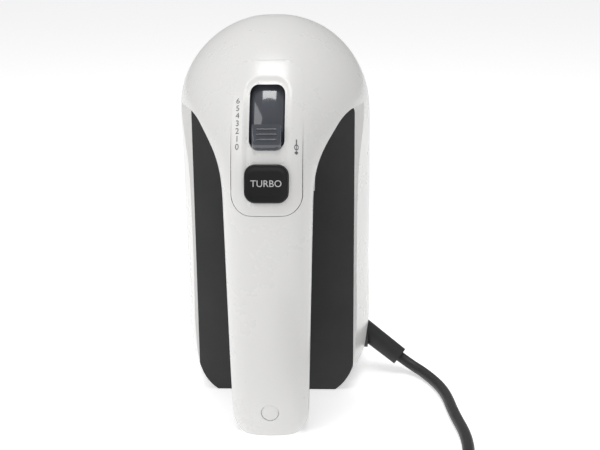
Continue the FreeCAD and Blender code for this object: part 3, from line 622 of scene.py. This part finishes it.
def dishAmount(x, z):
    # 1 well inside the soft recess round the controls, 0 outside it, with a smooth slope between
    look = panelLook
    share = keptShare((look["dishCorner"] - pastCorner("dish", x, z).length) / look["dishSlope"])
    fade = keptShare((z - look["dishLow"]) / (look["fadeBelow"] - look["dishLow"]))
    return share * share * (3 - 2 * share) * fade


def cutAcross(places, normal):
    # cuts the mesh in edit mode along a plane through each place
    for place in places:
        bpy.ops.mesh.select_all(action="SELECT")
        bpy.ops.mesh.bisect(plane_co=place, plane_no=normal)


def stepped(first, last, step):
    values = []
    value = first
    while value < last:
        values.append(value)
        value += step
    return values


def addControlPanel():
    look = panelLook
    panel = cleanCopy("control_panel", "controlPanel")
    low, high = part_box("control_panel")
    editAll(panel)
    cutAcross([(0, 0, z) for z in stepped(look["dishLow"], high.z, look["cut"])], (0, 0, 1))
    cutAcross([(x, 0, 0) for x in stepped(low.x + look["cut"], high.x, look["cut"])], (1, 0, 0))
    leaveEdit()
    pivot = arcLook["pivot"]
    for vertex in panel.data.vertices:
        spoke = Vector((0, vertex.co.y - pivot.y, vertex.co.z - pivot.z))
        outward = keptShare((spoke.length - arcLook["radius"] + look["skinDepth"]) / look["skinFade"])
        sink = look["dishDepth"] * dishAmount(vertex.co.x, vertex.co.z) * outward
        vertex.co -= spoke.normalized() * sink
        vertex.co += drawnIn(vertex.co.x, vertex.co.z)
    bevelled(panel, look["ease"], look["segments"])
    smooth(panel, look["smoothTo"])
    settle(panel, "mixer_body", material["whiteShell"], ("control_panel",))


leverLook = {
    "shieldHalf": 0.0088,
    "shieldOuter": 0.0778,
    "shieldThick": 0.0022,
    "crown": 0.020,
    "lowAngle": 23.0,
    "highAngle": 49.0,
    "steps": 36,
    "crownCuts": (-0.007, -0.005, -0.003, -0.001, 0.001, 0.003, 0.005, 0.007),
    "shieldEase": 0.0005,
    "mergeWithin": 0.00001,
    "tabHalf": 0.0064,
    "tabOuter": 0.0826,
    "tabRoot": 0.0755,
    "tabLow": 22.9,
    "tabHigh": 30.4,
    "ridgeAngles": (25.6, 27.2, 28.8),
    "ridgeHalf": 0.0046,
    "ridgeSize": 0.0006,
    "ridgeEase": 0.4,
    "ridgeLimit": 30,
    "lipEase": 0.0026,
    "lipSegments": 5,
    "footEase": 0.0016,
    "footSegments": 4,
    "footReach": 0.003,
    "tabEase": 0.0004,
    "smoothTo": 40,
}


def addShield():
    look = leverLook
    pivot = arcLook["pivot"]
    deselectAll()
    middle = look["shieldOuter"] - look["shieldThick"] / 2
    bpy.ops.mesh.primitive_plane_add(size=1, location=(0, pivot.y - middle, pivot.z))
    shield = bpy.context.object
    shield.scale = (2 * look["shieldHalf"], look["shieldThick"], 1)
    bakePlace(shield)
    editAll(shield)
    cutAcross([(x, 0, 0) for x in look["crownCuts"]], (1, 0, 0))
    leaveEdit()
    for vertex in shield.data.vertices:
        vertex.co.y += vertex.co.x ** 2 / (2 * look["crown"])
    leanBack(shield, look["lowAngle"])
    editAll(shield)
    sweep = math.radians(look["highAngle"] - look["lowAngle"])
    bpy.ops.mesh.spin(steps=look["steps"], angle=sweep, center=pivot, axis=(1, 0, 0))
    bpy.ops.mesh.select_all(action="SELECT")
    bpy.ops.mesh.remove_doubles(threshold=look["mergeWithin"])
    bpy.ops.mesh.normals_make_consistent(inside=False)
    leaveEdit()
    bevelled(shield, look["shieldEase"])
    return shield


def addRidge(angle):
    look = leverLook
    pivot = arcLook["pivot"]
    size = (2 * look["ridgeHalf"], 2 * look["ridgeSize"], look["ridgeSize"])
    ridge = addBlock("ridge", (0, pivot.y - look["tabOuter"], pivot.z), size)
    bevelled(ridge, look["ridgeSize"] * look["ridgeEase"], 3, look["ridgeLimit"])
    leanBack(ridge, angle)
    return ridge


def addTab():
    look = leverLook
    pivot = arcLook["pivot"]
    deep = look["tabOuter"] - look["tabRoot"]
    tall = look["tabOuter"] * math.radians(look["tabHigh"] - look["tabLow"])
    centre = (0, pivot.y - look["tabRoot"] - deep / 2, pivot.z)
    tab = addBlock("tab", centre, (2 * look["tabHalf"], deep, tall))
    front = pivot.y - look["tabOuter"] + nearly
    foot = pivot.z - tall / 2 + nearly
    side = look["tabHalf"] - nearly

    def lipEdge(a, b):
        return max(a.y, b.y) < front and max(a.z, b.z) < foot

    def footEdge(a, b):
        low = max(a.z, b.z) < foot + look["footReach"]
        return low and abs(a.x) > side and abs(a.x - b.x) < nearly

    bevelEdges(tab, lipEdge, look["lipEase"], look["lipSegments"])
    bevelEdges(tab, footEdge, look["footEase"], look["footSegments"])
    bevelled(tab, look["tabEase"], 3, look["smoothTo"])
    leanBack(tab, (look["tabLow"] + look["tabHigh"]) / 2)
    return tab


def addLever():
    shield = addShield()
    tab = addTab()
    ridges = [addRidge(angle) for angle in leverLook["ridgeAngles"]]
    lever = joined("leverShield", [shield, tab] + ridges)
    smooth(lever, leverLook["smoothTo"])
    settle(lever, "speed_lever_set", material["leverGrey"], ("speed_lever",))


turboLook = {
    "half": 0.0095,
    "low": 0.1165,
    "high": 0.1325,
    "corner": 0.0045,
    "cornerSegments": 10,
    "root": 0.0750,
    "face": 0.0822,
    "rim": 0.0011,
    "slope": 0.0007,
    "sink": 0.00030,
    "floorRim": 0.0012,
    "floorSink": 0.00004,
    "ease": 0.00035,
    "easeLimit": 30,
    "smoothTo": 45,
    "word": "TURBO",
    "wordSize": 0.0042,
    "wordThick": 0.00012,
}


def addTurbo():
    look = turboLook
    pivot = arcLook["pivot"]
    angle = math.degrees(math.asin(((look["low"] + look["high"]) / 2 - pivot.z) / arcLook["radius"]))
    tall = (look["high"] - look["low"]) / math.cos(math.radians(angle))
    deep = look["face"] - look["root"]
    cap = addBlock("cap", (0, pivot.y - look["root"] - deep / 2, pivot.z), (2 * look["half"], deep, tall))
    bevelEdges(cap, lambda a, b: abs(a.y - b.y) > deep / 2, look["corner"], look["cornerSegments"])
    editAll(cap)
    bpy.ops.mesh.select_mode(type="FACE")
    bpy.ops.mesh.select_all(action="DESELECT")
    leaveEdit()
    for face in cap.data.polygons:
        face.select = -face.normal.y > 1 - nearly
    bpy.ops.object.mode_set(mode="EDIT")
    bpy.ops.mesh.inset(thickness=look["rim"], depth=0)
    bpy.ops.mesh.inset(thickness=look["slope"], depth=-look["sink"])
    bpy.ops.mesh.inset(thickness=look["floorRim"], depth=-look["floorSink"])
    bpy.ops.mesh.select_mode(type="VERT")
    leaveEdit()
    bevelled(cap, look["ease"], 3, look["easeLimit"])
    smooth(cap, look["smoothTo"])
    leanBack(cap, angle)
    cap.name = "turboCap"
    settle(cap, "turbo_set", material["buttonBlack"], ("turbo_button",))
    word = addWord(look["word"], look["wordSize"], look["wordThick"])
    floorY = pivot.y - look["face"] + look["sink"] + look["floorSink"]
    word.data.transform(Matrix.Translation((0, floorY, pivot.z)))
    leanBack(word, angle)
    word.name = "turboMark"
    settle(word, "turbo_set", material["markPale"])


def addWord(text, size, thick):
    # upright lettering that faces the front, centred on the origin
    deselectAll()
    bpy.ops.object.text_add(location=(0, 0, 0))
    word = bpy.context.object
    word.data.body = text
    word.data.size = size
    word.data.align_x = "CENTER"
    word.data.align_y = "CENTER"
    word.data.extrude = thick / 2
    word.data.resolution_u = 4
    word.rotation_euler = (math.radians(90), 0, 0)
    pick(word)
    bpy.ops.object.convert(target="MESH")
    bakePlace(word)
    editAll(word)
    bpy.ops.mesh.remove_doubles(threshold=mergeWithin / 2)
    bpy.ops.mesh.normals_make_consistent(inside=False)
    leaveEdit()
    return word


marksLook = {
    "count": 7,
    "numberX": -0.0131,
    "firstAngle": 23.2,
    "step": 2.52,
    "size": 0.0038,
    "thick": 0.00012,
    "ejectX": 0.0131,
    "ejectZ": 0.1393,
    "stemSize": (0.00045, 0.0026),
    "stemZ": 0.0022,
    "ringRadius": 0.00085,
    "ringWire": 0.00018,
    "ringScale": (1.0, 1.35, 0.4),
    "ringSteps": (20, 6),
    "barSize": (0.0003, 0.0022),
    "arrowRadius": 0.0009,
    "arrowZ": -0.0024,
}
farOut = 0.3


def surfaceOf(nodeName):
    mesh = nodes[nodeName].data
    return BVHTree.FromPolygons([vertex.co for vertex in mesh.vertices],
                                [tuple(face.vertices) for face in mesh.polygons])


panelSurface = surfaceOf("control_panel")
plateSurface = surfaceOf("rating_plate")


def layOnPanel(piece, x, z):
    # moves a front-facing mark built round the origin onto the panel, turned to its slope
    place, normal, index, distance = panelSurface.ray_cast(Vector((x, -farOut, z)), Vector((0, 1, 0)))
    up = Vector((0, normal.z, -normal.y)).normalized()
    side = up.cross(normal)
    turn = Matrix((side, -normal, up)).transposed().to_4x4()
    piece.data.transform(Matrix.Translation(place) @ turn)


def addNumbers():
    look = marksLook
    pivot = arcLook["pivot"]
    numbers = []
    for value in range(look["count"]):
        number = addWord(str(value), look["size"], look["thick"])
        angle = math.radians(look["firstAngle"] + look["step"] * value)
        layOnPanel(number, look["numberX"], pivot.z + arcLook["radius"] * math.sin(angle))
        numbers.append(number)
    marks = joined("speedNumbers", numbers)
    settle(marks, "mixer_body", material["markGrey"])


def addEjectMark():
    # a small beater with an arrow head under it
    look = marksLook
    thick = look["thick"]
    upright = (math.radians(90), 0, 0)
    wide, tall = look["stemSize"]
    stem = addBlock("stem", (0, 0, look["stemZ"]), (wide, thick, tall))
    deselectAll()
    around, across = look["ringSteps"]
    bpy.ops.mesh.primitive_torus_add(major_segments=around, minor_segments=across, rotation=upright,
                                     major_radius=look["ringRadius"], minor_radius=look["ringWire"])
    ring = bpy.context.object
    ring.scale = look["ringScale"]
    bakePlace(ring)
    wide, tall = look["barSize"]
    bar = addBlock("bar", (0, 0, 0), (wide, thick, tall))
    deselectAll()
    bpy.ops.mesh.primitive_cylinder_add(vertices=4, radius=look["arrowRadius"], depth=thick,
                                        location=(0, 0, look["arrowZ"]), rotation=upright)
    arrow = bpy.context.object
    bakePlace(arrow)
    mark = joined("ejectMark", [stem, ring, bar, arrow])
    layOnPanel(mark, look["ejectX"], look["ejectZ"])
    settle(mark, "mixer_body", material["markGrey"])


addControlPanel()
addLever()
addTurbo()
addNumbers()
addEjectMark()
print("controls done")


# back: blank lines, a double square and a few ticks on the rating plate

backLook = {
    "lineHeights": (0.093, 0.0905, 0.088, 0.0855),
    "lineHalf": 0.0125,
    "lineTall": 0.00045,
    "lineBars": 5,
    "barShare": 0.38,
    "barPitch": 0.4,
    "shorter": 0.18,
    "thick": 0.00012,
    "signX": 0.010,
    "signZ": 0.0775,
    "signSizes": (0.0036, 0.0019),
    "signWire": 0.0003,
    "ticks": 6,
    "tickPitch": 0.0011,
    "tickUp": 0.0004,
    "tickSize": (0.0005, 0.003),
}


def plateMark(x, z, wide, tall):
    # a thin block on the rating plate's outer face
    place, normal, index, distance = plateSurface.ray_cast(Vector((x, farOut, z)), Vector((0, -1, 0)))
    return addBlock("mark", (x, place.y, z), (wide, backLook["thick"], tall))


def addPlateMarks():
    look = backLook
    marks = []
    for row, z in enumerate(look["lineHeights"]):
        half = look["lineHalf"] * (1 - look["shorter"] * (row % 2))
        for bar in range(look["lineBars"]):
            x = (bar - look["lineBars"] // 2) * half * look["barPitch"]
            marks.append(plateMark(x, z, half * look["barShare"], look["lineTall"]))
    for size in look["signSizes"]:
        for way in (-1, 1):
            marks.append(plateMark(look["signX"] + way * size / 2, look["signZ"], look["signWire"], size))
            marks.append(plateMark(look["signX"], look["signZ"] + way * size / 2, size, look["signWire"]))
    for step in range(look["ticks"]):
        x = step * look["tickPitch"] - look["signX"]
        marks.append(plateMark(x, look["signZ"] + look["tickUp"], *look["tickSize"]))
    plate = joined("plateMarks", marks)
    settle(plate, "mixer_body", material["markGrey"])


addPlateMarks()
print("back done")
